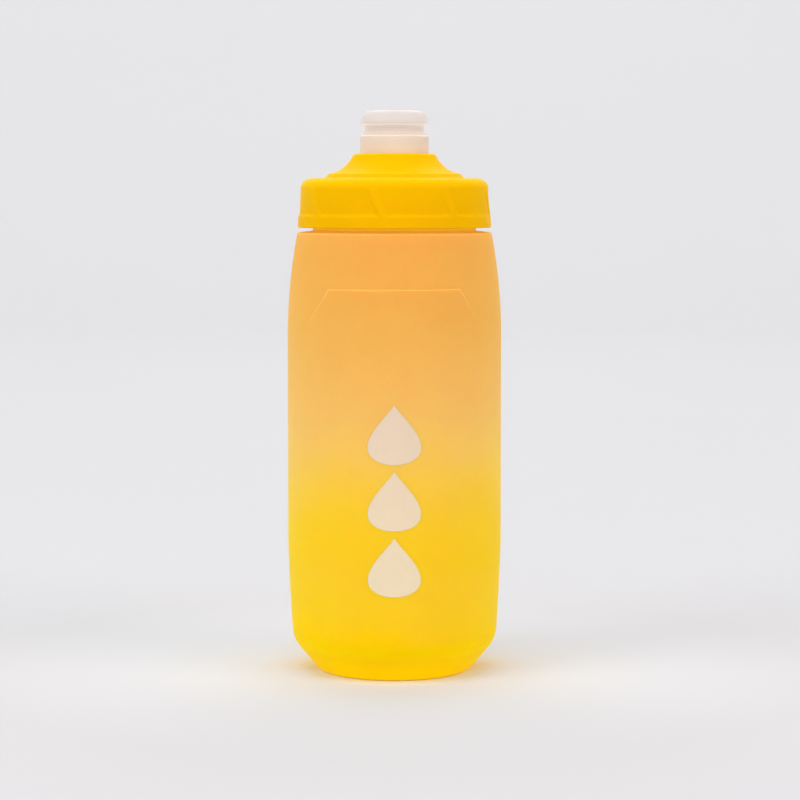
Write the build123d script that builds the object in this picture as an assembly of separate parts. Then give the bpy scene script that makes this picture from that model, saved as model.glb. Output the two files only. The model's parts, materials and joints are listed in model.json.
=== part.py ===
from build123d import *
from math import copysign, cos, radians, sin, sqrt, tan
import os

# A squeeze bottle for a bicycle's bottle cage, with a screw cap and a spout that pulls up to open.
# Millimetres, +Z up. The origin is the centre of the foot ring, and the front of the bottle is -Y.
# It is drawn ready to drink from: cap screwed home, spout pulled up.

# ---------------------------------------------------------------- bottle body
body_r = 36.75            # straight barrel that sits in a bottle cage
barrel_low = 44.0         # the barrel is straight from here ...
barrel_high = 115.0       # ... to here
body_wall = 1.6
foot_r = 23.4             # outer edge of the ring it stands on
foot_width = 2.0
foot_recess = 2.5         # how far the floor inside the foot ring is pushed up
foot_round = 5.0
heel_angle = 50.0         # slope of the heel above the foot, from level
heel_r = 35.05
heel_round = 10.0
low_wall_mid = (36.15, 30.0)   # radius and height midway up the slightly tapered lower wall
shoulder_sweep = 190.0    # radius of the long curve from the barrel to the shoulder
shoulder_z = 151.0
shoulder_rise = 0.6       # from the shoulder's edge to the neck
shoulder_round = 0.9
neck_r = 27.95
rim_z = 165.8
rim_round = 0.5
pad_r = 36.7              # flat-sided pad on the front, standing out where the shoulder curves away
pad_depth = 1.4
pad_low = 112.0
pad_top = 132.6
pad_bevel = 0.3
pad_top_half = 22.1       # half its width at the top ...
pad_low_half = 34.4       # ... and at the bottom

# ---------------------------------------------------------------- two-start screw thread
thread_lead = 6.0
thread_starts = 2
thread_turns = 0.9
thread_root_width = 1.4
thread_crest_width = 0.6
thread_sunk = 0.5         # how far a ridge's root goes into the wall behind it
neck_thread_r = 29.45     # crest of the bottle's ridges
neck_thread_z = 156.4
cap_thread_r = 28.35      # crest of the cap's ridges
cap_thread_z = 155.0

# ---------------------------------------------------------------- cap
cap_low = 152.7
cap_plate_z = 169.5       # top of the flat rim of the cap
cap_low_r = 33.2
cap_plate_r = 32.05
cap_corner = 4.0
cap_bore_r = 29.95        # inside of the skirt
cap_ceiling = 167.3
plateau_foot_r = 24.1     # raised disc in the middle of the cap, with a bevelled edge
plateau_mid = (23.4, 170.1)
plateau_edge = (22.6, 171.0)
flare_low = (21.9, 171.15)     # foot of the tower's flared side
tower_z = 177.8
tower_r = 14.02
tower_mid = (17.2, 173.4)     # radius and height midway down the tower's flared side
tower_round = 1.2
guide_r = 11.95           # bore that the spout slides in
chamber_r = 12.95         # wider bore under it, for the spout's stop flange
chamber_top = 168.5
tube_r = 14.4
tube_low = 156.6
plug_ring = (24.0, 25.2)  # ring inside the bottle's mouth, which also centres the gasket
plug_low = 164.4
grip_panels = 8
grip_low = 157.7
grip_high = 166.2
grip_low_r = 32.45
grip_high_r = 32.05
grip_slant = 23.6         # lean of the ribs between the panels
grip_rib = 1.8            # width of a rib
grip_ledge = (0.75, 1.3)  # how far the slope under a panel reaches out and down
grip_turn = -11.0         # where one rib stands, in degrees to the right of the front

# ---------------------------------------------------------------- sliding spout
spout_travel = 6.2
carrier_r = 11.75
carrier_top = 184.0
carrier_low = 165.9
carrier_bore_r = 9.0
flange_r = 12.7
flange_top = 168.4
socket_r = 10.0           # the mouthpiece plugs in here
socket_floor = 177.2
throat_r = 4.6
throat_low = 174.0
carrier_ring_z = 175.9
carrier_ring_wire = 0.8   # radius of the O-ring's section
carrier_ring_r = 11.91
snap_z = 180.2
snap_height = 1.0
snap_depth = 0.45

# ---------------------------------------------------------------- valve post under the spout
post_ring_top = 159.5
post_ring_width = 1.65
spoke_top = 158.8
spoke_width = 2.2
spokes = 3
hub_r = 3.4
post_r = 2.4
head_r = 4.3
head_low = 167.6
head_top = 171.0
post_ring_z = 169.4
post_ring_wire = 0.65
post_ring_r = 4.57

# ---------------------------------------------------------------- soft mouthpiece and gasket
lip_top = 192.4
lip_top_r = 9.3
lip_mid = (10.95, 190.9)
lip_r = 11.65
lip_low = 188.3
waist_r = 10.0
waist_low = 186.2
waist_high = 187.5
mouth_base_r = 11.3
mouth_base_top = 184.35
mouth_flare = (10.35, 185.3)   # radius and height midway from the base in to the waist
mouth_bore_r = 7.4
dish_r = 6.4
dish_z = 190.0
membrane = 1.4
slit_length = 9.0
slit_gap = 0.3
seat_gap = 0.05           # clearance where the mouthpiece sits on the carrier
gasket_r = (25.4, 29.6)
gasket_gap = 0.02         # clearance above and below the gasket
gasket_edge = 0.3          # bevel of its four edges


def outline(*corners):
    """A flat face through the corners; x is the radius and y is the height."""
    return make_face(Polyline(*corners, close=True))


def turned(flat):
    """Turn a flat face, drawn with x as radius and y as height, about the bottle's axis."""
    return revolve(Plane.XZ * flat, axis=Axis.Z)


def round_corner(flat, radius, r, z):
    """Round the corner of a flat face that lies nearest to the given radius and height."""
    corner = flat.vertices().sort_by_distance((r, z, 0))[0]
    return fillet(corner, radius)


def o_ring(outer_r, wire_r, z):
    """A ring of round section."""
    return Pos(0, 0, z) * Torus(outer_r - wire_r, wire_r)


def thread_ridges(root_r, crest_r, low_z):
    """The ridges of one thread, evenly spaced round the axis, rising counter-clockwise."""
    out = copysign(1, crest_r - root_r)
    height = abs(crest_r - root_r)
    path = Helix(thread_lead, thread_lead * thread_turns, root_r, center=(0, 0, low_z))
    across = Plane(origin=path @ 0, x_dir=(out, 0, 0), z_dir=path % 0)
    crest = thread_crest_width / 2
    flank = (thread_root_width / 2 - crest) / height
    sunk = crest + flank * (height + thread_sunk)
    section = across * outline((-thread_sunk, -sunk), (height, -crest), (height, crest), (-thread_sunk, sunk))
    ridge = sweep(section, path=path, is_frenet=True)
    return [Rot(0, 0, 360 / thread_starts * k) * ridge for k in range(thread_starts)]


def bottle_section():
    """Half of the bottle's outer outline, from the axis out to the wall and up to the rim."""
    heel = radians(heel_angle)
    heel_low = (foot_r + foot_round * sin(heel), foot_round * (1 - cos(heel)))
    heel_mid = (foot_r + foot_round * sin(heel / 2), foot_round * (1 - cos(heel / 2)))
    heel_z = heel_low[1] + (heel_r - heel_low[0]) * tan(heel)

    def sweep_r(z):
        rise = z - barrel_high
        return body_r - shoulder_sweep + sqrt(shoulder_sweep ** 2 - rise ** 2)

    mid_z = (barrel_high + shoulder_z) / 2
    foot_in = foot_r - foot_width
    edges = [
        Polyline((0, foot_recess), (foot_in - foot_recess, foot_recess), (foot_in, 0), (foot_r, 0)),
        ThreePointArc((foot_r, 0), heel_mid, heel_low),
        Line(heel_low, (heel_r, heel_z)),
        ThreePointArc((heel_r, heel_z), low_wall_mid, (body_r, barrel_low)),
        Line((body_r, barrel_low), (body_r, barrel_high)),
        ThreePointArc((body_r, barrel_high), (sweep_r(mid_z), mid_z), (sweep_r(shoulder_z), shoulder_z)),
        Polyline((sweep_r(shoulder_z), shoulder_z), (neck_r, shoulder_z + shoulder_rise),
                 (neck_r, rim_z), (0, rim_z), (0, foot_recess)),
    ]
    half = make_face(edges)
    half = round_corner(half, heel_round, heel_r, heel_z)
    return round_corner(half, shoulder_round, sweep_r(shoulder_z), shoulder_z)


def front_pad():
    """A shallow pad on the front of the wall, wider below, with a crisp top edge."""
    half = outline((pad_r - pad_depth, pad_low), (pad_r, pad_low), (pad_r, pad_top - pad_bevel),
                   (pad_r - pad_bevel, pad_top), (pad_r - pad_depth, pad_top))
    front = outline((-pad_low_half, pad_low - 1), (pad_low_half, pad_low - 1),
                    (pad_top_half, pad_top + 1), (-pad_top_half, pad_top + 1))
    return turned(half) & extrude(Plane.XZ * front, amount=pad_r + 5)


def bottle_body():
    half = bottle_section()
    whole = half + mirror(half, about=Plane.YZ)
    hollow = offset(whole, amount=-body_wall) & outline((0, 0), (body_r, 0), (body_r, rim_z), (0, rim_z))
    mouth = Pos(0, 0, shoulder_z) * Cylinder(
        neck_r - body_wall, rim_z, align=(Align.CENTER, Align.CENTER, Align.MIN))
    shell = turned(half) - turned(hollow) - mouth
    rim = shell.edges().filter_by(GeomType.CIRCLE).group_by(Axis.Z)[-1]
    shell = fillet(rim, rim_round)
    shell = shell + front_pad()
    return shell + thread_ridges(neck_r, neck_thread_r, neck_thread_z)


def cap_outside():
    """Half of the cap's solid outline, still without its hollows."""
    low_edge = 0.3
    edges = [
        Polyline((0, cap_low), (cap_low_r - low_edge, cap_low), (cap_low_r, cap_low + low_edge),
                 (cap_plate_r, cap_plate_z), (plateau_foot_r, cap_plate_z), plateau_mid, plateau_edge,
                 flare_low),
        ThreePointArc(flare_low, tower_mid, (tower_r, tower_z)),
        Polyline((tower_r, tower_z), (0, tower_z), (0, cap_low)),
    ]
    half = make_face(edges)
    half = round_corner(half, cap_corner, cap_plate_r, cap_plate_z)
    half = round_corner(half, 0.5, *plateau_mid)
    half = round_corner(half, 0.5, *plateau_edge)
    return round_corner(half, tower_round, tower_r, tower_z)


def cap_hollow():
    """Half outline of the space inside the cap, between the skirt and the guide tube."""
    lead_in = 0.5
    return outline(
        (tube_r, cap_low), (cap_bore_r + lead_in, cap_low), (cap_bore_r, cap_low + lead_in),
        (cap_bore_r, cap_ceiling), (plug_ring[1], cap_ceiling), (plug_ring[1] - 0.3, plug_low),
        (plug_ring[0], plug_low), (plug_ring[0], cap_ceiling + 0.4), (21.5, 168.2), (17.2, 170.6),
        (15.6, 171.2), (tube_r, 171.2))


def cap_bore():
    """Half outline of the stepped bore through the tower and its guide tube."""
    edge = 0.4
    return outline(
        (0, tube_low), (chamber_r + edge, tube_low), (chamber_r, tube_low + edge),
        (chamber_r, chamber_top), (guide_r, chamber_top), (guide_r, tower_z - edge),
        (guide_r + edge, tower_z), (0, tower_z))


def grip_cutter():
    """The shallow recess of one grip panel, a slanted patch of a ring round the skirt."""
    outside = cap_low_r + 2
    out, down = grip_ledge
    ring = turned(outline((grip_high_r, grip_high), (grip_low_r, grip_low),
                          (grip_low_r + out, grip_low - down), (outside, grip_low - down),
                          (outside, grip_high)))
    half_turn = radians(180 / grip_panels)
    half_width = grip_low_r * sin(half_turn) - grip_rib / 2 / cos(half_turn)
    mid_z = (grip_low + grip_high) / 2
    reach = (grip_high - grip_low) / 2 + down
    lean = reach * tan(radians(grip_slant))
    patch = outline((-half_width - lean, reach), (half_width - lean, reach),
                    (half_width + lean, -reach), (-half_width + lean, -reach))
    patch = fillet(patch.vertices(), 1.0)
    front = Plane(origin=(0, 0, mid_z), x_dir=(1, 0, 0), z_dir=(0, -1, 0))
    return ring & extrude(front * patch, amount=outside)


def cap_shell():
    below_tube = Pos(0, 0, cap_low) * Cylinder(
        tube_r + 0.1, tube_low - cap_low, align=(Align.CENTER, Align.CENTER, Align.MIN))
    cap = turned(cap_outside()) - turned(cap_hollow()) - turned(cap_bore()) - below_tube
    panel = grip_cutter()
    for k in range(grip_panels):
        cap -= Rot(0, 0, grip_turn + (k + 0.5) * 360 / grip_panels) * panel
    return cap + thread_ridges(cap_bore_r, cap_thread_r, cap_thread_z)


def cap_gasket():
    low, high = rim_z + gasket_gap, cap_ceiling - gasket_gap
    flat = outline((gasket_r[0], low), (gasket_r[1], low), (gasket_r[1], high), (gasket_r[0], high))
    return turned(chamfer(flat.vertices(), gasket_edge))


def valve_post():
    ring = turned(outline((chamber_r - post_ring_width, tube_low), (chamber_r - 0.3, tube_low),
                          (chamber_r, tube_low + 0.5), (chamber_r, post_ring_top),
                          (chamber_r - post_ring_width, post_ring_top)))
    groove_r = post_ring_r - 2 * post_ring_wire - 0.02
    groove = post_ring_wire + 0.1
    stem = turned(outline(
        (0, tube_low), (hub_r, tube_low), (hub_r, spoke_top), (post_r, spoke_top + 1.5),
        (post_r, head_low - 1.4), (head_r, head_low), (head_r, post_ring_z - groove),
        (groove_r, post_ring_z - groove), (groove_r, post_ring_z + groove),
        (head_r, post_ring_z + groove), (head_r, head_top - 0.5), (head_r - 0.8, head_top), (0, head_top)))
    reach = chamber_r - post_ring_width / 2
    spoke = Pos(reach / 2, 0, (tube_low + spoke_top) / 2) * Box(reach, spoke_width, spoke_top - tube_low)
    post = ring + stem
    for k in range(spokes):
        post += Rot(0, 0, 90 + 360 / spokes * k) * spoke
    return post


def spout_carrier():
    groove_r = carrier_ring_r - 2 * carrier_ring_wire - 0.03
    groove = carrier_ring_wire + 0.05
    snap_r = socket_r + snap_depth + seat_gap
    snap = snap_height / 2 + seat_gap
    return turned(outline(
        (carrier_bore_r, carrier_low), (flange_r - 0.3, carrier_low), (flange_r, carrier_low + 0.3),
        (flange_r, flange_top), (carrier_r, flange_top), (carrier_r, carrier_ring_z - groove),
        (groove_r, carrier_ring_z - groove), (groove_r, carrier_ring_z + groove),
        (carrier_r, carrier_ring_z + groove), (carrier_r, carrier_top - 0.3),
        (carrier_r - 0.3, carrier_top), (socket_r, carrier_top),
        (socket_r, snap_z + snap + snap_depth), (snap_r, snap_z + snap), (snap_r, snap_z - snap),
        (socket_r, snap_z - snap - snap_depth), (socket_r, socket_floor),
        (throat_r, socket_floor), (throat_r, throat_low + 0.5), (throat_r + 0.5, throat_low),
        (carrier_bore_r, throat_low)))


def bite_valve():
    plug_r = socket_r - seat_gap
    snap_r = plug_r + snap_depth
    snap = snap_height / 2
    seat = carrier_top + seat_gap
    edges = [
        Polyline((mouth_bore_r, socket_floor + 2 * seat_gap), (plug_r, socket_floor + 2 * seat_gap),
                 (plug_r, snap_z - snap - snap_depth), (snap_r, snap_z - snap), (snap_r, snap_z + snap),
                 (plug_r, snap_z + snap + snap_depth), (plug_r, seat), (mouth_base_r, seat),
                 (mouth_base_r, mouth_base_top), mouth_flare, (waist_r, waist_low), (waist_r, waist_high),
                 (lip_r - 0.4, lip_low - 0.4), (lip_r, lip_low)),
        ThreePointArc((lip_r, lip_low), lip_mid, (lip_top_r, lip_top)),
        Polyline((lip_top_r, lip_top), (dish_r + 1.2, lip_top), (dish_r, dish_z), (0, dish_z),
                 (0, dish_z - membrane), (mouth_bore_r - 1.2, dish_z - membrane),
                 (mouth_bore_r, dish_z - membrane - 1.2), (mouth_bore_r, socket_floor + 2 * seat_gap)),
    ]
    half = make_face(edges)
    half = round_corner(half, 1.0, *mouth_flare)
    half = round_corner(half, 1.0, waist_r, waist_low)
    half = round_corner(half, 0.7, dish_r + 1.2, lip_top)
    mouthpiece = turned(half)
    slit = Pos(0, 0, dish_z - membrane / 2) * Box(slit_length, slit_gap, 2 * membrane)
    return mouthpiece - Rot(0, 0, 45) * slit - Rot(0, 0, -45) * slit


nodes = {
    "bottle_body": bottle_body(),
    "cap_shell": cap_shell(),
    "cap_gasket": cap_gasket(),
    "valve_post": valve_post(),
    "post_seal": o_ring(post_ring_r, post_ring_wire, post_ring_z),
    "spout_carrier": spout_carrier(),
    "carrier_seal": o_ring(carrier_ring_r, carrier_ring_wire, carrier_ring_z),
    "bite_valve": bite_valve(),
}

os.makedirs("parts", exist_ok=True)
for name, shape in nodes.items():
    export_step(shape, f"parts/{name}.step")
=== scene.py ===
import json
from math import asin, atan2, ceil, copysign, cos, pi, radians, sin, sqrt, tan

import bmesh
import bpy
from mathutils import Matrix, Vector

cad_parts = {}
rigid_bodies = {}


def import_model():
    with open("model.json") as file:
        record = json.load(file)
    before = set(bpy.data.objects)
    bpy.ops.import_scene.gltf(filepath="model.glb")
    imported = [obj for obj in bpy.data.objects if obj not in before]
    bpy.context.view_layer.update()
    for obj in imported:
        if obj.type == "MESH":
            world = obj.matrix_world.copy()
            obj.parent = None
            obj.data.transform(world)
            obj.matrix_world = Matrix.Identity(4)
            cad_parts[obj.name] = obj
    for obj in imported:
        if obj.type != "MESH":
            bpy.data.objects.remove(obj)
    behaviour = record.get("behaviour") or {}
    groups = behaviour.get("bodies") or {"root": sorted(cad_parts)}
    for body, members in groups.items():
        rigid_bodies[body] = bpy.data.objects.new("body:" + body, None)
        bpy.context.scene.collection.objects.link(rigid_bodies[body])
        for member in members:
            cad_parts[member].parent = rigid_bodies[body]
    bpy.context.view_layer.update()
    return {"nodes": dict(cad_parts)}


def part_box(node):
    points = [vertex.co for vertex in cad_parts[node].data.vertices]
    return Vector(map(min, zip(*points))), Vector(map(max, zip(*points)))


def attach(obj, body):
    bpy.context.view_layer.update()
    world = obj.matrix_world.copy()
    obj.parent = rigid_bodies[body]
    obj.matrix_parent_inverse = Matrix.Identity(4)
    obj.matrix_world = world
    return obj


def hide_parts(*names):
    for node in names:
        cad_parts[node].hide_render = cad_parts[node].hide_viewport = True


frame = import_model()

MM = 0.001

# ---------------------------------------------------------------- sizes from the frame, in mm


def span(node):
    """Lowest and highest corner of a CAD node at rest, in mm."""
    low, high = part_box(node)
    return Vector(low) / MM, Vector(high) / MM


bottle_high = span("bottle_body")[1]
cap_low, cap_high = span("cap_shell")
valve_high = span("bite_valve")[1]

PROUD = 0.06        # the print and the parting lines stand out by less than this
BODY_R, RIM_Z = bottle_high.x - PROUD, bottle_high.z
CAP_R, CAP_Z, TOWER_Z = cap_high.x, cap_low.z, cap_high.z
LIP_R, SPOUT_Z = valve_high.x, valve_high.z

# ---------------------------------------------------------------- sizes of the pieces, in mm

BARREL_LOW, BARREL_HIGH = 44.0, 115.0    # the straight part of the wall
BODY_WALL = 1.6
FOOT_R, FOOT_WIDTH, FOOT_RECESS, FOOT_ROUND = 23.4, 2.0, 2.5, 5.0
HEEL_ANGLE, HEEL_R, HEEL_ROUND = radians(50), 35.05, 10.0
LOW_WALL_MID = (36.15, 30.0)             # a point on the curve from the heel up to the barrel
SHOULDER_SWEEP = 190.0                   # radius of the long curve from the barrel up to the shoulder
SHOULDER_Z, SHOULDER_RISE, SHOULDER_ROUND = 151.0, 0.6, 0.9
NECK_R = 27.95

PAD_TOP, PAD_LOW = 132.6, 111.0          # the front pad stands out where the shoulder curves away
PAD_R, PAD_HALF = 36.7 - PROUD, (22.1, 34.4)     # half its width at the top and at the bottom
PAD_STEP = (0.12, 1.2)                   # width of the step at its top edge and at its sides
SEAM, SEAM_HALF, SEAM_FLANK = 0.04, 0.297, 0.22  # height, half width and flank of the parting lines
COLUMN_AT_PAD, COLUMN_AT_SEAM = 53, 90   # degrees; the columns between them give way to the pad's

THREAD_LEAD, THREAD_STARTS, THREAD_TURNS = 6.0, 2, 0.9
THREAD_ROOT, THREAD_CREST, THREAD_FADE = 1.4, 0.6, 0.035     # the fade of an end, in turns
NECK_THREAD_R, NECK_THREAD_Z = 29.45, 156.4
CAP_THREAD_R, CAP_THREAD_Z = 28.35, 155.0

CAP_PLATE_Z, CAP_PLATE_R, CAP_CORNER = 169.5, 32.05, 4.0
CAP_BORE_R, CAP_CEILING = 29.95, 167.3
PLATEAU_FOOT_R, PLATEAU_MID, PLATEAU_EDGE = 24.1, (23.4, 170.1), (22.6, 171.0)
FLARE_LOW = (21.9, 171.15)
TOWER_R, TOWER_MID, TOWER_ROUND = 14.02, (17.2, 173.4), 1.2
GUIDE_R, CHAMBER_R, CHAMBER_TOP = 11.95, 12.95, 168.5
TUBE_R, TUBE_LOW = 14.4, 156.6
PLUG_RING, PLUG_LOW = (24.0, 25.2), 164.4
HOLLOW = ((TUBE_R, 171.2, 0.5), (15.6, 171.2, 0.8), (17.2, 170.6, 2), (21.5, 168.2, 2))     # under the tower
GRIP_PANELS, GRIP_TURN, GRIP_SLANT = 8, -11.0, radians(23.6)
GRIP_LOW, GRIP_HIGH, GRIP_LEDGE = (32.45, 157.7), (32.05, 166.2), 1.3
GRIP_FADE = (1.5, 3.0)                   # how far a panel runs on above, and over what height it fades
RIB_HALF, RIB_FLANK = radians(0.9), radians(3.2)
RIB_COLUMNS = (0, 0.5, 0.9, 1.3, 1.7, 2.1, 2.5, 2.9, 3.3, 3.7, 4.1, 4.6)     # degrees from a rib's middle

SOCKET_FLOOR, CARRIER_TOP, BEAD_Z = 177.3, 184.05, 180.2
PLUG_R, VALVE_BORE_R, VALVE_ROOF = 9.95, 7.4, 188.6
LIP_LOW, LIP_MID, LIP_TOP_R = 188.3, (10.95, 190.9), 9.3
DISH_Z, DISH_R = 190.0, 6.4
WAIST_R, SKIRT_R, SKIRT_TOP = 10.0, 11.3, 184.35
BEAD_HALF, BEAD_CREST_HALF, BEAD_HIGH = 0.95, 0.5, 0.45     # the bead that snaps into the sleeve
SLIT = (9.0, 0.3, 189.3, 4.0)            # its length, width, middle height and depth

# ---------------------------------------------------------------- mesh tools


def rounded(corners, fine=radians(9)):
    """A path through (radius, height) or (radius, height, rounding) corners; roundings become arcs."""
    path = []
    for i, corner in enumerate(corners):
        here = Vector(corner[:2])
        radius = corner[2] if len(corner) > 2 else 0
        if not radius:
            path.append(here)
            continue
        back = (Vector(corners[i - 1][:2]) - here).normalized()
        on = (Vector(corners[i + 1][:2]) - here).normalized()
        half = back.angle(on) / 2
        centre = here + (back + on).normalized() * radius / sin(half)
        start = here + back * radius / tan(half) - centre
        turn = (pi - 2 * half) * (1 if start.cross(here - centre) > 0 else -1)
        steps = max(2, ceil(abs(turn) / fine))
        for k in range(steps + 1):
            a = turn * k / steps
            path.append(centre + Vector((start.x * cos(a) - start.y * sin(a),
                                         start.x * sin(a) + start.y * cos(a))))
    return path


def arc_through(start, middle, end, steps):
    """Points of the circle's arc through three points, without its two ends."""
    a, b, c = Vector(start), Vector(middle), Vector(end)
    d = 2 * (a - c).cross(b - c)
    p, q = (a - c).length_squared, (b - c).length_squared
    centre = c + Vector(((b - c).y * p - (a - c).y * q, (a - c).x * q - (b - c).x * p)) / d
    first = atan2(a.y - centre.y, a.x - centre.x)
    last = atan2(c.y - centre.y, c.x - centre.x)
    sweep = (last - first + pi) % (2 * pi) - pi
    radius = (a - centre).length
    return [(centre.x + radius * cos(first + sweep * k / steps),
             centre.y + radius * sin(first + sweep * k / steps)) for k in range(1, steps)]


def split(path, longest):
    """The same path with its long runs divided."""
    points = [path[0]]
    for here in path[1:]:
        run = here - points[-1]
        steps = max(1, ceil(run.length / longest - 1e-6))
        start = points[-1].copy()
        points += [start + run * k / steps for k in range(1, steps + 1)]
    return points


def mesh_object(name, verts, faces):
    mesh = bpy.data.meshes.new(name)
    mesh.from_pydata([(x * MM, y * MM, z * MM) for x, y, z in verts], [], faces)
    mesh.validate()
    piece = bpy.data.objects.new(name, mesh)
    bpy.context.scene.collection.objects.link(piece)
    smooth(piece)
    return piece


def smooth(piece, sharp=radians(40)):
    """Outward normals, smooth shading, and hard edges only where faces meet at a real angle."""
    shape = bmesh.new()
    shape.from_mesh(piece.data)
    bmesh.ops.remove_doubles(shape, verts=shape.verts, dist=1e-7)
    bmesh.ops.recalc_face_normals(shape, faces=shape.faces)
    shape.to_mesh(piece.data)
    shape.free()
    piece.data.polygons.foreach_set("use_smooth", [True] * len(piece.data.polygons))
    piece.data.set_sharp_from_angle(angle=sharp)


def lathe(name, path, turns, relief=None, follow=None):
    """Turn a path about the axis. turns are angles to the right of the front. relief(angle, radius,
    height, place on the path) gives a point's own radius, and follow(angle, height) moves the columns."""
    verts, rings = [], []
    for i, (r, z) in enumerate(path):
        if r < 1e-6:
            rings.append([len(verts)])
            verts.append((0, 0, z))
            continue
        ring = []
        for a in turns:
            angle = follow(a, z) if follow else a
            out = relief(angle, r, z, i) if relief else r
            ring.append(len(verts))
            verts.append((out * sin(angle), -out * cos(angle), z))
        rings.append(ring)
    faces = []
    count = len(turns)
    closed = len(rings[0]) > 1
    for low, high in zip(rings, rings[1:] + ([rings[0]] if closed else [])):
        for k in range(count):
            n = (k + 1) % count
            face = [low[0]] if len(low) == 1 else [low[k], low[n]]
            face += [high[0]] if len(high) == 1 else [high[n], high[k]]
            faces.append(face)
    return mesh_object(name, verts, faces)


def even(count):
    return [2 * pi * k / count for k in range(count)]


def ease(x):
    """0 below 0, 1 above 1 and smooth between."""
    x = min(1, max(0, x))
    return x * x * (3 - 2 * x)


def thread_height(angle, z, low_z):
    """How far a thread ridge stands out at an angle and height, from 0 to 1, with faded ends."""
    flank = (THREAD_ROOT - THREAD_CREST) / 2
    best = 0
    for start in range(THREAD_STARTS):
        for lap in range(-1, 3):
            # counter-clockwise seen from above is clockwise to the angle from the front
            along = ((angle - pi / 2) - 2 * pi * start / THREAD_STARTS) / (2 * pi) + lap
            if not 0 <= along <= THREAD_TURNS:
                continue
            off = abs(z - low_z - THREAD_LEAD * along)
            ends = min(along, THREAD_TURNS - along) / THREAD_FADE
            height = ease((THREAD_ROOT / 2 - off) / flank) * ease(ends)
            best = max(best, height)
    return best


# ---------------------------------------------------------------- shader tools


class Shader:
    """A material's node tree, with short calls for the nodes it needs."""

    def __init__(self, name):
        self.material = bpy.data.materials.new(name)
        self.material.use_nodes = True
        self.nodes = self.material.node_tree.nodes
        self.links = self.material.node_tree.links
        self.nodes.clear()
        self.output = self.nodes.new("ShaderNodeOutputMaterial")
        self.surface = self.nodes.new("ShaderNodeBsdfPrincipled")
        self.links.new(self.surface.outputs[0], self.output.inputs["Surface"])
        self.place = self.nodes.new("ShaderNodeTexCoord").outputs["Object"]

    def set(self, **values):
        for key, value in values.items():
            self.surface.inputs[key.replace("_", " ")].default_value = value

    def link(self, source, socket):
        self.links.new(source, self.surface.inputs[socket])

    def noise(self, scale, detail, roughness=0.5):
        node = self.nodes.new("ShaderNodeTexNoise")
        node.inputs["Scale"].default_value = scale
        node.inputs["Detail"].default_value = detail
        node.inputs["Roughness"].default_value = roughness
        self.links.new(self.place, node.inputs["Vector"])
        return node.outputs["Fac"]

    def value(self, operation, first, second):
        node = self.nodes.new("ShaderNodeMath")
        node.operation = operation
        self.links.new(first, node.inputs[0])
        self.links.new(second, node.inputs[1])
        return node.outputs[0]

    def spread(self, source, low, high, to_low=0.0, to_high=1.0):
        """A source's range from low to high, mapped to another range and held at its ends."""
        node = self.nodes.new("ShaderNodeMapRange")
        self.links.new(source, node.inputs["Value"])
        for key, item in zip(("From Min", "From Max", "To Min", "To Max"), (low, high, to_low, to_high)):
            node.inputs[key].default_value = item
        return node.outputs[0]

    def ramp(self, source, stops):
        """Colours by position along a source that runs from 0 to 1."""
        node = self.nodes.new("ShaderNodeValToRGB")
        self.links.new(source, node.inputs[0])
        points = node.color_ramp.elements
        while len(points) < len(stops):
            points.new(0.5)
        for point, (position, colour) in zip(points, stops):
            point.position = position
            point.color = (*colour, 1)
        return node.outputs[0]

    def mix(self, factor, first, second, mode="MIX"):
        node = self.nodes.new("ShaderNodeMix")
        node.data_type = "RGBA"
        node.blend_type = mode
        for socket, item in ((node.inputs[0], factor), (node.inputs[6], first), (node.inputs[7], second)):
            if isinstance(item, (int, float)):
                socket.default_value = item
            elif isinstance(item, tuple):
                socket.default_value = (*item, 1)
            else:
                self.links.new(item, socket)
        return node.outputs[2]

    def along(self, axis="Z"):
        node = self.nodes.new("ShaderNodeSeparateXYZ")
        self.links.new(self.place, node.inputs[0])
        return node.outputs[axis]

    def between(self, low, high, to_low=0.0, to_high=1.0):
        """A value that changes from one height to another; heights are in mm."""
        return self.spread(self.along(), low * MM, high * MM, to_low, to_high)

    def mottled(self, colour, tint, noise, low=0.3, high=0.7):
        """Base colour that drifts between a tinted colour and the colour itself, by a noise."""
        drift = self.spread(self.noise(*noise), low, high)
        self.link(self.mix(drift, self.mix(1.0, colour, tint, "MULTIPLY"), colour), "Base Color")

    def satin(self, noise, low, high):
        """Roughness that varies between two values, by a noise."""
        self.link(self.spread(self.noise(*noise), 0.3, 0.7, low, high), "Roughness")

    def glow(self, colour, reach, open_above, most, least=0.0, top=None, lift=None):
        """The light that a see-through wall carries into its creases: most where the surface is shut in
        within reach, least where it is open or above the top height in mm. The lift is added to it."""
        shut = self.nodes.new("ShaderNodeAmbientOcclusion")
        shut.samples = 8
        shut.inputs["Distance"].default_value = reach
        openness = shut.outputs["AO"]
        if top is not None:
            openness = self.value("MAXIMUM", openness, self.between(top, top + 0.4))
        strength = self.spread(openness, 0.0, open_above, most, least)
        if lift is not None:
            strength = self.value("ADD", strength, lift)
        self.link(strength, "Emission Strength")
        self.link(colour, "Emission Color")

    def bump(self, source, depth, strength=1.0):
        node = self.nodes.new("ShaderNodeBump")
        node.inputs["Distance"].default_value = depth
        node.inputs["Strength"].default_value = strength
        self.links.new(source, node.inputs["Height"])
        self.link(node.outputs[0], "Normal")


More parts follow.
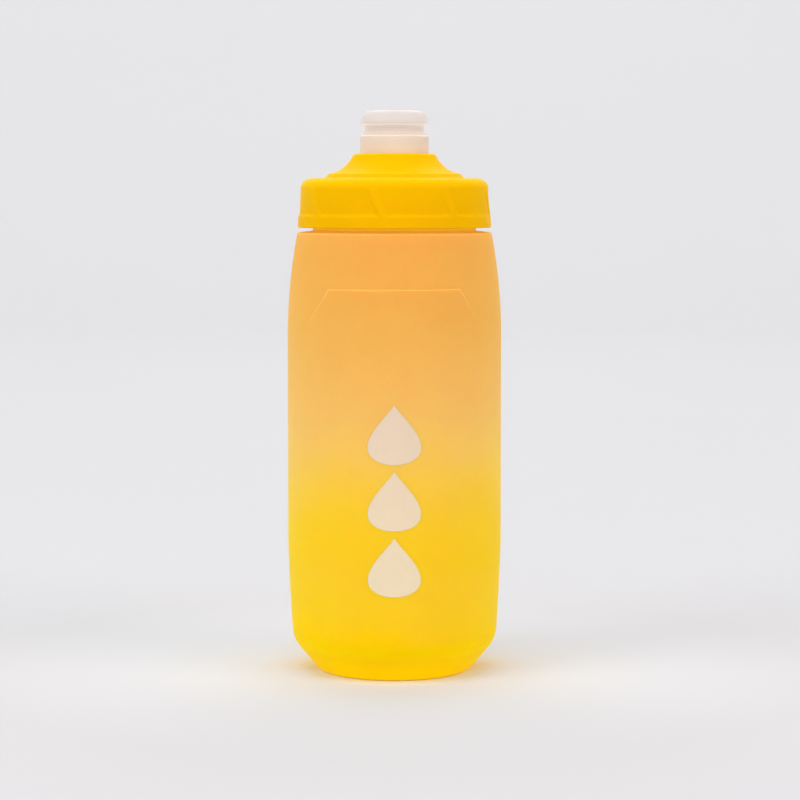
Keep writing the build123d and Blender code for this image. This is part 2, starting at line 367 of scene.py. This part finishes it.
def frosted_bottle():
    """Frosted squeeze plastic, orange above and yellow below, with a soft uneven fade between. A lighter band
    at the heel, the neck's own colour and a glow in its creases are painted light.
    """
    s = Shader("frosted_bottle")
    cloud = s.spread(s.noise(22, 3, 0.55), 0.3, 0.7, -6 * MM, 6 * MM)
    fade = s.spread(s.value("ADD", s.along(), cloud), 0.0, 165 * MM)
    colour = s.ramp(fade, [
        (0.00, (0.87, 0.507, 0.000)),
        (0.05, (0.90, 0.53, 0.000)),
        (0.09, (0.90, 0.54, 0.002)),
        (0.13, (0.85, 0.53, 0.013)),
        (0.20, (0.84, 0.52, 0.019)),
        (0.26, (0.83, 0.515, 0.014)),
        (0.33, (0.82, 0.51, 0.023)),
        (0.40, (0.81, 0.50, 0.056)),
        (0.48, (0.79, 0.48, 0.100)),
        (0.54, (0.77, 0.45, 0.112)),
        (0.61, (0.76, 0.42, 0.103)),
        (0.74, (0.73, 0.38, 0.080)),
        (0.90, (0.71, 0.34, 0.068)),
    ])
    # Painted light: a lighter band of colour round the heel, which lifts the shade of its crease.
    heel = s.value("MULTIPLY", s.between(7.5, 10.0), s.between(11.5, 14.0, 1.0, 0.0))
    colour = s.mix(heel, colour, (0.965, 0.594, 0.0))
    # Painted light for the shaded gap under the cap's skirt: the neck above the shoulder gets its own colour,
    # and there the glow colour is far brighter than elsewhere.
    neck_gap_painted_light = s.between(SHOULDER_Z + 0.2, SHOULDER_Z + 1.2)
    colour = s.mix(neck_gap_painted_light, colour, (0.74, 0.375, 0.055))
    s.mottled(colour, (0.975, 0.965, 0.93), (60, 4, 0.6), 0.25, 0.75)
    s.satin((300, 3), 0.46, 0.56)
    painted_glow_colour = s.mix(neck_gap_painted_light, s.mix(1.0, colour, (0.95, 0.98, 0.35), "MULTIPLY"), (1.32, 0.79, 0.03))
    s.glow(painted_glow_colour, reach=0.016, open_above=0.79, most=0.40)
    s.set(IOR=1.5, Specular_IOR_Level=0.02, Sheen_Weight=0.01, Sheen_Roughness=0.35,
          Subsurface_Weight=0.8, Subsurface_Radius=(1.0, 0.55, 0.2), Subsurface_Scale=0.0034)
    s.bump(s.noise(1800, 3, 0.6), 0.00006, 0.5)
    return s.material


def yellow_cap():
    """Satin moulded cap plastic, a little deeper in the grip panels and on the plate than on the tower. This
    change with height is painted light: the tower is lighter where the top light falls.
    """
    s = Shader("yellow_cap")
    # Painted light and shade by height: lighter on the tower under the top light, a little darker on the
    # plate.
    colour = s.ramp(s.between(160, 178), [
        (0.00, (0.71, 0.378, 0.0)), (0.33, (0.722, 0.404, 0.0)), (0.58, (0.70, 0.378, 0.0)),
        (0.68, (0.75, 0.385, 0.0)), (0.90, (0.77, 0.40, 0.0))])
    s.mottled(colour, (0.975, 0.97, 1.0), (90, 4, 0.6))
    s.satin((500, 3), 0.38, 0.48)
    s.set(IOR=1.5, Specular_IOR_Level=0.01, Sheen_Weight=0.06, Sheen_Roughness=0.25,
          Subsurface_Weight=0.5, Subsurface_Radius=(1.0, 0.5, 0.05), Subsurface_Scale=0.003)
    s.bump(s.noise(2500, 3, 0.6), 0.00004, 0.5)
    return s.material


def milky(name, colours, heights, roughness, lit, lit_creases, crease_top, lit_lip=0.0):
    """Milky see-through plastic or silicone, whose colour changes between two heights in mm; the warmer low
    colour is painted light, the warm light thrown up by the yellow cap. It glows evenly by lit, painted light
    that flattens its shading. Its creases are lit up to crease_top; lit_lip is added as painted light at the
    side and the underside of the mouthpiece's lip."""
    s = Shader(name)
    low_colour, high_colour = colours
    # Painted light: the low colour is warmer, for the light that the yellow cap throws onto the piece.
    colour = s.ramp(s.between(*heights), [(0.0, low_colour), (1.0, high_colour)])
    s.mottled(colour, (0.97, 0.965, 0.96), (140, 3, 0.5))
    s.satin((600, 3), roughness - 0.05, roughness + 0.05)
    lift = None
    if lit_lip:
        lift = s.value("MULTIPLY", s.between(LIP_LOW - 1.1, LIP_LOW - 0.7, 0.0, lit_lip),
                       s.between(LIP_LOW + 0.9, LIP_LOW + 3.1, 1.0, 0.0))
    s.glow(colour, 0.004, 0.95, lit_creases, lit, crease_top, lift)
    s.set(IOR=1.43, Specular_IOR_Level=0.25, Transmission_Weight=0.2, Subsurface_Weight=0.8,
          Subsurface_Radius=(1.0, 0.8, 0.6), Subsurface_Scale=0.008)
    s.bump(s.noise(2200, 2), 0.00003, 0.4)
    return s.material


def soft_white(name, colour, roughness):
    """White rubber or plastic of the hidden pieces."""
    s = Shader(name)
    s.mottled(colour, (0.94, 0.94, 0.94), (200, 3, 0.5))
    s.satin((700, 3), roughness - 0.05, roughness + 0.06)
    s.set(IOR=1.45, Subsurface_Weight=0.2, Subsurface_Scale=0.002)
    s.bump(s.noise(2600, 2), 0.00003, 0.4)
    return s.material


def cream_ink():
    """Cream ink, a little brighter towards the bottom."""
    s = Shader("cream_ink")
    colour = s.ramp(s.between(30, 95), [
        (0.0, (0.68, 0.572, 0.39)), (0.55, (0.653, 0.527, 0.375)), (1.0, (0.62, 0.49, 0.38))])
    s.mottled(colour, (0.97, 0.97, 0.97), (400, 4, 0.6))
    s.satin((900, 2), 0.45, 0.55)
    s.set(Specular_IOR_Level=0.1)
    s.bump(s.noise(3000, 2), 0.00002, 0.4)
    return s.material


def paper(name, floor, wall):
    """Studio paper. Round the bottle's foot it is brighter and warmer, from the light that comes through
    the plastic, and behind the middle of the foot, away from the front lights, it is yellower."""
    s = Shader(name)
    colour = s.mix(s.between(20, 500), floor, wall)
    flat = s.nodes.new("ShaderNodeVectorMath")
    flat.operation = "MULTIPLY"
    flat.inputs[1].default_value = (1, 1, 0)
    s.links.new(s.place, flat.inputs[0])
    length = s.nodes.new("ShaderNodeVectorMath")
    length.operation = "LENGTH"
    s.links.new(flat.outputs[0], length.inputs[0])
    around = s.spread(length.outputs["Value"], 0.0, 160 * MM)
    far = [(0.42, (1.10, 1.12, 1.12)), (0.60, (1.06, 1.075, 1.09)), (0.95, (1.0, 1.0, 1.0))]
    in_front = s.ramp(around, [
        (0.16, (1.62, 1.70, 1.54)), (0.185, (1.45, 1.54, 1.45)), (0.22, (1.25, 1.24, 1.24)),
        (0.28, (1.15, 1.15, 1.12)), *far])
    behind = s.ramp(around, [
        (0.16, (1.60, 1.28, 0.62)), (0.19, (1.46, 1.28, 0.74)), (0.206, (1.32, 1.17, 0.82)),
        (0.232, (1.22, 1.12, 0.88)), (0.25, (1.18, 1.125, 1.0)), (0.30, (1.14, 1.14, 1.09)), *far])
    side = s.spread(s.along("Y"), -8 * MM, 8 * MM)
    colour = s.mix(1.0, colour, s.mix(side, in_front, behind), "MULTIPLY")
    s.mottled(colour, (0.995, 0.995, 0.995), (8, 3))
    s.set(Roughness=0.9, IOR=1.4)
    return s.material


def finish_piece(piece, material, body, slot, *nodes):
    """Give a piece its material and its CAD body, and hide the CAD nodes that it stands for. slot is not
    used.
    """
    piece.data.materials.clear()
    piece.data.materials.append(material)
    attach(piece, body)
    if nodes:
        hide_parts(*nodes)


# ---------------------------------------------------------------- bottle


def sweep_r(z):
    """Radius of the long curve from the barrel up to the shoulder."""
    rise = max(0, z - BARREL_HIGH)
    return BODY_R - SHOULDER_SWEEP + sqrt(SHOULDER_SWEEP ** 2 - rise ** 2)


def bottle_path():
    """The bottle's path from the axis up the outside to the rim, and back down the inside to the axis."""
    w = BODY_WALL
    foot_in = FOOT_R - FOOT_WIDTH
    heel_low = (FOOT_R + FOOT_ROUND * sin(HEEL_ANGLE), FOOT_ROUND * (1 - cos(HEEL_ANGLE)))
    heel_z = heel_low[1] + (HEEL_R - heel_low[0]) * tan(HEEL_ANGLE)
    heel_corner = FOOT_R + FOOT_ROUND * tan(HEEL_ANGLE / 2)
    low_wall = arc_through((HEEL_R, heel_z), LOW_WALL_MID, (BODY_R, BARREL_LOW), 8)
    neck_foot = SHOULDER_Z + SHOULDER_RISE
    rise = 2.4
    sweep = [(sweep_r(z), z) for z in (BARREL_HIGH + rise * k for k in range(1, 15))]
    return rounded([
        (0, FOOT_RECESS), (foot_in - FOOT_RECESS, FOOT_RECESS, 0.8), (foot_in, 0, 0.5),
        (heel_corner, 0, FOOT_ROUND), (HEEL_R, heel_z, HEEL_ROUND), *low_wall[1:],
        (BODY_R, BARREL_LOW, 20), (BODY_R, BARREL_HIGH), *sweep,
        (sweep_r(SHOULDER_Z), SHOULDER_Z, SHOULDER_ROUND), (NECK_R, neck_foot, 0.35),
        (NECK_R, RIM_Z, 0.5), (NECK_R - w, RIM_Z, 0.5), (NECK_R - w, neck_foot - w, 0.8),
        (sweep_r(SHOULDER_Z) - w, SHOULDER_Z - w, 1.5), *[(r - w, z) for r, z in reversed(sweep[:-1])],
        (BODY_R - w, BARREL_HIGH), (BODY_R - w, BARREL_LOW), *[(r - w, z) for r, z in reversed(low_wall)],
        (HEEL_R - w, heel_z + 0.6, 8), (heel_corner - 0.6, w, 4), (foot_in, w, 1.5),
        (foot_in - FOOT_RECESS, FOOT_RECESS + w, 1.5), (0, FOOT_RECESS + w)])


def pad_side(z):
    """Angle of the pad's slanted side at a height."""
    away = min(1, max(0, (PAD_TOP - z) / (PAD_TOP - PAD_LOW)))
    return asin((PAD_HALF[0] + (PAD_HALF[1] - PAD_HALF[0]) * away) / PAD_R)


def follow_pad(angle, z):
    """Move the columns so that the close ones run along the pad's slanted sides."""
    a = (angle + pi) % (2 * pi) - pi
    size, side, column, fixed = abs(a), pad_side(z), radians(COLUMN_AT_PAD), radians(COLUMN_AT_SEAM - 2)
    if size >= fixed:
        return angle
    if size > column:
        return copysign(side + (size - column) * (fixed - side) / (fixed - column), a)
    return a * side / column


def bottle_turns():
    """Angles round the bottle, close together along the pad's sides and the two parting lines."""
    close = (COLUMN_AT_PAD, COLUMN_AT_SEAM)
    beside = (-0.9, -0.6, -0.35, -0.15, 0.15, 0.35, 0.6, 0.9)
    half = [k for k in range(0, 181, 2) if all(abs(k - at) > max(beside) for at in close)]
    half += [at + off for at in close for off in beside]
    half = [radians(a) for a in sorted(half)]
    return half + [2 * pi - a for a in reversed(half[1:-1])]


def bottle_relief(rim):
    """The front pad, the parting lines and the neck thread, on the points that come before the rim."""
    def relief(angle, r, z, i):
        if i > rim:
            return r
        away = abs((angle + pi) % (2 * pi) - pi)
        if NECK_THREAD_Z - 1 < z < RIM_Z - 0.5 and r > NECK_R - 0.1:
            return r + (NECK_THREAD_R - NECK_R) * thread_height(angle, z, NECK_THREAD_Z)
        if BARREL_HIGH < z < PAD_TOP + 1 and away < pad_side(z) + 0.1:
            over, beside = PAD_STEP
            inside = ease((pad_side(z) - away) * r / beside + 0.5) * ease((PAD_TOP - z) / over + 0.5)
            return r + max(0, PAD_R - r) * inside
        if r > FOOT_R and z < SHOULDER_Z:
            return r + SEAM * ease((SEAM_HALF - abs(away - pi / 2) * r) / SEAM_FLANK)
        return r
    return relief


def bottle():
    """The bottle's wall, with close rows where the thread and the pad's top edge are."""
    corners = bottle_path()
    path = []
    rim = 0
    thread_rows, pad_rows, rows = 0.11, 0.06, 3.0
    for here, there in zip(corners, corners[1:]):
        rising = not rim
        if rising and here.y > RIM_Z - 0.01:
            rim = len(path)
        in_thread = rising and here.y > SHOULDER_Z and there.y > here.y + 2
        in_pad = rising and PAD_TOP - 3 < there.y < PAD_TOP + 3
        path += split([here, there], thread_rows if in_thread else pad_rows if in_pad else rows)[:-1]
    path.append(corners[-1])
    piece = lathe("bottle_wall", path, bottle_turns(), relief=bottle_relief(rim), follow=follow_pad)
    finish_piece(piece, bottle_plastic, "bottle", "frosted_bottle", "bottle_body")
    return piece


def base_seam():
    """The pinched seam that blow moulding leaves across the floor inside the foot ring."""
    reach, half_width, depth, sunk = 15.0, 0.55, 0.4, 0.3
    lengths, rounds = 40, 10
    verts, faces = [], []
    for i in range(lengths + 1):
        x = reach * (2 * i / lengths - 1)
        size = sqrt(max(0.01, 1 - (x / reach) ** 6))
        for k in range(rounds + 1):
            a = pi * k / rounds
            verts.append((x, half_width * size * cos(a), FOOT_RECESS - depth * size * sin(a)))
        verts += [(x, -half_width * size, FOOT_RECESS + sunk), (x, half_width * size, FOOT_RECESS + sunk)]
    ring = rounds + 3
    for i in range(lengths):
        for k in range(ring):
            n = (k + 1) % ring
            faces.append([i * ring + k, i * ring + n, (i + 1) * ring + n, (i + 1) * ring + k])
    faces += [list(range(ring)), [lengths * ring + k for k in reversed(range(ring))]]
    piece = mesh_object("base_seam", verts, faces)
    finish_piece(piece, bottle_plastic, "bottle", "frosted_bottle")
    return piece


def drop_outline(width, height, steps=72):
    """A plain water drop, point up, as points round its middle."""
    turns = [2 * pi * k / steps for k in range(steps)]
    sides = [sin(t) * sin(t / 2) ** 1.5 for t in turns]
    return [(width / 2 * side / max(sides), height / 2 * cos(t)) for side, t in zip(sides, turns)]


def print_column():
    """Three plain drops printed up the front of the bottle, each a thin film that follows the wall."""
    count, width, height, gap, low = 3, 18.0, 20.0, 2.2, 30.2
    film, rings, fat_part = 0.04, 10, -0.12
    wall_foot = (HEEL_R - PROUD, 11.1)
    low_wall = arc_through(wall_foot, LOW_WALL_MID, (BODY_R, BARREL_LOW), 40)
    outline = drop_outline(width, height)
    around = len(outline)
    verts, faces = [], []

    def put(x, z, lift):
        r = BODY_R if z >= BARREL_LOW else min(low_wall, key=lambda p: abs(p[1] - z))[0]
        a = x / BODY_R
        verts.append(((r + lift) * sin(a), -(r + lift) * cos(a), z))

    for n in range(count):
        first = len(verts)
        middle = low + height / 2 + n * (height + gap)
        heart = middle + height * fat_part
        put(0, heart, film)
        for ring in range(1, rings + 1):
            f = ring / rings
            for x, y in outline:
                put(x * f, heart + (middle + y - heart) * f, film)
        for x, y in outline:
            put(x, middle + y, -film)
        put(0, heart, -film)
        last = len(verts) - 1
        for k in range(around):
            nxt = (k + 1) % around
            faces.append([first, first + 1 + k, first + 1 + nxt])
            for ring in range(rings):
                a, b = first + 1 + ring * around, first + 1 + (ring + 1) * around
                faces.append([a + k, b + k, b + nxt, a + nxt])
            under = first + 1 + rings * around
            faces.append([last, under + nxt, under + k])
    piece = mesh_object("front_print", verts, faces)
    finish_piece(piece, cream_ink(), "bottle", "frosted_bottle")
    return piece


# ---------------------------------------------------------------- cap


def cap_path():
    """The cap's outline as one closed path: up the skirt outside, over the top and back inside."""
    tower = arc_through(FLARE_LOW, TOWER_MID, (TOWER_R, TOWER_Z), 18)
    return rounded([
        (CAP_BORE_R + 0.5, CAP_Z), (CAP_R, CAP_Z, 0.45), (CAP_PLATE_R, CAP_PLATE_Z, CAP_CORNER),
        (PLATEAU_FOOT_R, CAP_PLATE_Z, 0.7), (*PLATEAU_MID, 0.7), (*PLATEAU_EDGE, 0.7), FLARE_LOW, *tower[:-1],
        (TOWER_R, TOWER_Z, TOWER_ROUND), (GUIDE_R, TOWER_Z, 0.35), (GUIDE_R, CHAMBER_TOP),
        (CHAMBER_R, CHAMBER_TOP), (CHAMBER_R, TUBE_LOW, 0.3), (TUBE_R, TUBE_LOW, 0.3), *HOLLOW,
        (PLUG_RING[0], CAP_CEILING + 0.4, 0.5), (PLUG_RING[0], PLUG_LOW, 0.3),
        (PLUG_RING[1] - 0.3, PLUG_LOW, 0.3), (PLUG_RING[1], CAP_CEILING),
        (CAP_BORE_R, CAP_CEILING, 0.3), (CAP_BORE_R, CAP_Z + 0.5)])


def grip_relief():
    """Shallow panels round the skirt. A panel ends in a sloping ledge below and fades out above."""
    pitch = 2 * pi / GRIP_PANELS
    (low_r, low_z), (high_r, high_z) = GRIP_LOW, GRIP_HIGH
    run_on, fade = GRIP_FADE

    def relief(angle, r, z, i):
        if r > CAP_BORE_R + 1 and low_z - GRIP_LEDGE - 0.3 < z < high_z + run_on:
            lean = tan(GRIP_SLANT) * ((low_z + high_z) / 2 - z) / CAP_R
            off = (angle - radians(GRIP_TURN) - lean) % pitch
            across = ease((min(off, pitch - off) - RIB_HALF) / RIB_FLANK)
            panel_r = low_r + (high_r - low_r) * (z - low_z) / (high_z - low_z)
            up = ease((z - low_z) / GRIP_LEDGE + 1) * ease((high_z + run_on - z) / fade)
            return r - max(0, r - panel_r) * across * up
        if abs(r - CAP_BORE_R) < 0.05 and CAP_Z + 0.6 < z < CAP_CEILING - 1:
            return r - (CAP_BORE_R - CAP_THREAD_R) * thread_height(angle, z, CAP_THREAD_Z)
        return r
    return relief


def grip_turns():
    """Angles round the cap, close together at each rib's two sides."""
    pitch = 2 * pi / GRIP_PANELS
    between = 14
    turns = []
    for panel in range(GRIP_PANELS):
        middle = radians(GRIP_TURN) + panel * pitch
        side = [radians(a) for a in RIB_COLUMNS]
        ladder = side + [side[-1] + (pitch - 2 * side[-1]) * k / between for k in range(1, between)]
        ladder += [pitch - a for a in reversed(side[1:])]
        turns += [middle + a for a in ladder]
    return turns


def cap():
    """The moulded cap, with close rows where the grip panels and the thread are."""
    path = []
    corners = cap_path()
    fine_rows, rows = 0.25, 2.5
    for here, there in zip(corners, corners[1:] + [corners[0]]):
        skirt = min(here.x, there.x) > NECK_R + 1 and abs(there.y - here.y) > 3
        path += split([here, there], fine_rows if skirt else rows)[:-1]
    middle = (GRIP_LOW[1] + GRIP_HIGH[1]) / 2

    def follow_ribs(angle, z):
        held = min(GRIP_HIGH[1] + 2, max(GRIP_LOW[1] - 2, z))
        return angle + tan(GRIP_SLANT) * (middle - held) / CAP_R

    piece = lathe("cap_moulding", path, grip_turns(), relief=grip_relief(), follow=follow_ribs)
    finish_piece(piece, yellow_cap(), "cap", "yellow_cap", "cap_shell")
    return piece


# ---------------------------------------------------------------- spout


def cut_slot(piece, length, width, middle, height, turn):
    """Cut a straight slot through a piece, across the axis."""
    x, y, z = length / 2, width / 2, height / 2
    corners = [(i * x * cos(turn) - j * y * sin(turn), i * x * sin(turn) + j * y * cos(turn), middle + k * z)
               for k in (-1, 1) for i, j in ((-1, -1), (1, -1), (1, 1), (-1, 1))]
    sides = [[3, 2, 1, 0], [4, 5, 6, 7], [0, 1, 5, 4], [1, 2, 6, 5], [2, 3, 7, 6], [3, 0, 4, 7]]
    blade = mesh_object("slot_blade", corners, sides)
    cut = piece.modifiers.new("slot", "BOOLEAN")
    cut.operation = "DIFFERENCE"
    cut.object = blade
    cut.solver = "EXACT"
    bpy.context.view_layer.update()
    result = bpy.data.meshes.new_from_object(piece.evaluated_get(bpy.context.evaluated_depsgraph_get()))
    piece.modifiers.clear()
    piece.data = result
    bpy.data.objects.remove(blade)


def mouthpiece(material):
    """The soft mouthpiece: dished top, rounded lip, waist, skirt on the sleeve, plug with its bead."""
    bead_r, chamfer, rows, columns = PLUG_R + BEAD_HIGH, 1.2, 1.0, 160
    lip = arc_through((LIP_R, LIP_LOW), LIP_MID, (LIP_TOP_R, SPOUT_Z), 14)
    path = rounded([
        (0, DISH_Z), (DISH_R, DISH_Z, 0.6), (DISH_R + chamfer, SPOUT_Z, 0.8), (LIP_TOP_R, SPOUT_Z),
        *reversed(lip), (LIP_R, LIP_LOW), (LIP_R - 0.4, LIP_LOW - 0.4, 0.25), (WAIST_R, LIP_LOW - 0.8, 0.4),
        (WAIST_R, LIP_LOW - 2.1, 1.0), (WAIST_R + 0.35, LIP_LOW - 3.0, 1.0), (SKIRT_R, SKIRT_TOP, 0.3),
        (SKIRT_R, CARRIER_TOP, 0.1), (PLUG_R, CARRIER_TOP), (PLUG_R, BEAD_Z + BEAD_HALF),
        (bead_r, BEAD_Z + BEAD_CREST_HALF), (bead_r, BEAD_Z - BEAD_CREST_HALF), (PLUG_R, BEAD_Z - BEAD_HALF),
        (PLUG_R, SOCKET_FLOOR, 0.2), (VALVE_BORE_R, SOCKET_FLOOR, 0.2),
        (VALVE_BORE_R, VALVE_ROOF - chamfer, 0.3), (VALVE_BORE_R - chamfer, VALVE_ROOF, 0.3),
        (0, VALVE_ROOF)])
    piece = lathe("soft_mouthpiece", split(path, rows), even(columns))
    for turn in (45, -45):
        cut_slot(piece, *SLIT, radians(turn))
    smooth(piece)
    finish_piece(piece, material, "spout", "milky_silicone", "bite_valve")
    return piece


def dress_cad(node, material):
    """A CAD node that keeps its own shape gets its material."""
    part = frame["nodes"][node]
    part.data.materials.clear()
    part.data.materials.append(material)
    return part


# ---------------------------------------------------------------- set, light and camera


def studio():
    """A round pale sweep: flat floor that curves up to a wall all round, open at the top."""
    wall_r, wall_z, bend = 3000, 1500, 900
    path = rounded([(0, 0), (wall_r, 0, bend), (wall_r, wall_z)], radians(5))
    sweep = lathe("studio_sweep", split(path, 400), even(96))
    flip = bmesh.new()
    flip.from_mesh(sweep.data)
    bmesh.ops.recalc_face_normals(flip, faces=flip.faces)
    bmesh.ops.reverse_faces(flip, faces=flip.faces)
    flip.to_mesh(sweep.data)
    flip.free()
    sweep.data.materials.append(paper("studio_paper", (0.484, 0.481, 0.491), (0.546, 0.542, 0.550)))


def softbox(name, place, target, size, power, colour=(1, 1, 1)):
    """A rectangular soft light that shines from a place to a target, in metres and watts."""
    lamp = bpy.data.lights.new(name, "AREA")
    lamp.shape = "RECTANGLE"
    lamp.size, lamp.size_y = size
    lamp.energy = power
    lamp.color = colour
    holder = bpy.data.objects.new(name, lamp)
    holder.location = place
    holder.rotation_euler = (Vector(target) - Vector(place)).to_track_quat("-Z", "Y").to_euler()
    bpy.context.scene.collection.objects.link(holder)
    return holder


def lights():
    """A soft sky and five soft boxes. The low one lights the bottle's foot and leaves the floor alone."""
    world = bpy.data.worlds.new("soft_sky")
    world.use_nodes = True
    sky = world.node_tree.nodes["Background"]
    sky.inputs["Color"].default_value = (0.98, 0.99, 1.0, 1)
    sky.inputs["Strength"].default_value = 0.9
    bpy.context.scene.world = world
    aim = (0, 0, 0.1)
    softbox("back_box", (0, 2.1, 2.3), (0, 1.9, 0), (3.2, 2.6), 51)
    softbox("top_box", (-0.3, -0.9, 2.2), aim, (1.6, 1.2), 15)
    softbox("left_box", (-1.75, -1.25, 1.2), aim, (1.4, 1.4), 21)
    softbox("right_box", (1.7, -1.2, 1.2), aim, (1.4, 1.4), 20, (1.0, 0.90, 0.88))
    low_fill = softbox("low_fill", (0, -2.4, 0.2), (0, 0, 0.02), (2.6, 0.4), 13)
    lit = bpy.data.collections.new("lit_by_low_fill")
    for piece in bpy.context.scene.objects:
        if piece.type == "MESH" and piece.name != "studio_sweep":
            lit.objects.link(piece)
    low_fill.light_linking.receiver_collection = lit


def camera():
    """The viewpoint: a long lens a little above the cap, pitched slightly down."""
    distance, height, pitch, side = 0.935, 0.1679, radians(4.56), 0.0019
    view = bpy.data.cameras.new("camera")
    view.sensor_width = 36
    view.lens = 122.5
    view.clip_start, view.clip_end = 0.05, 20
    holder = bpy.data.objects.new("camera", view)
    holder.location = (side, -distance, height)
    holder.rotation_euler = (pi / 2 - pitch, 0, 0)
    bpy.context.scene.collection.objects.link(holder)
    bpy.context.scene.camera = holder


bpy.context.scene.view_settings.view_transform = "Standard"
camera()
bottle_plastic = frosted_bottle()
bottle()
base_seam()
print_column()
cap()
# The warmer low colours of both milky pieces are painted light from the yellow cap below.
mouthpiece(milky("milky_silicone", colours=[(0.39, 0.325, 0.27), (0.395, 0.367, 0.355)], heights=(184.5, 189),
                 roughness=0.42, lit=0.47, lit_creases=2.2, crease_top=LIP_LOW + 0.05, lit_lip=0.18))
dress_cad("spout_carrier", milky(
    "milky_plastic", colours=[(0.565, 0.455, 0.34), (0.49, 0.462, 0.45)], heights=(177.5, 184),
    roughness=0.38, lit=0.17, lit_creases=0.3, crease_top=CARRIER_TOP + 0.05))
white_rubber = soft_white("white_silicone", (0.80, 0.79, 0.76), 0.5)
for seal in ("cap_gasket", "post_seal", "carrier_seal"):
    dress_cad(seal, white_rubber)
dress_cad("valve_post", soft_white("white_plastic", (0.82, 0.81, 0.78), 0.42))
studio()
lights()
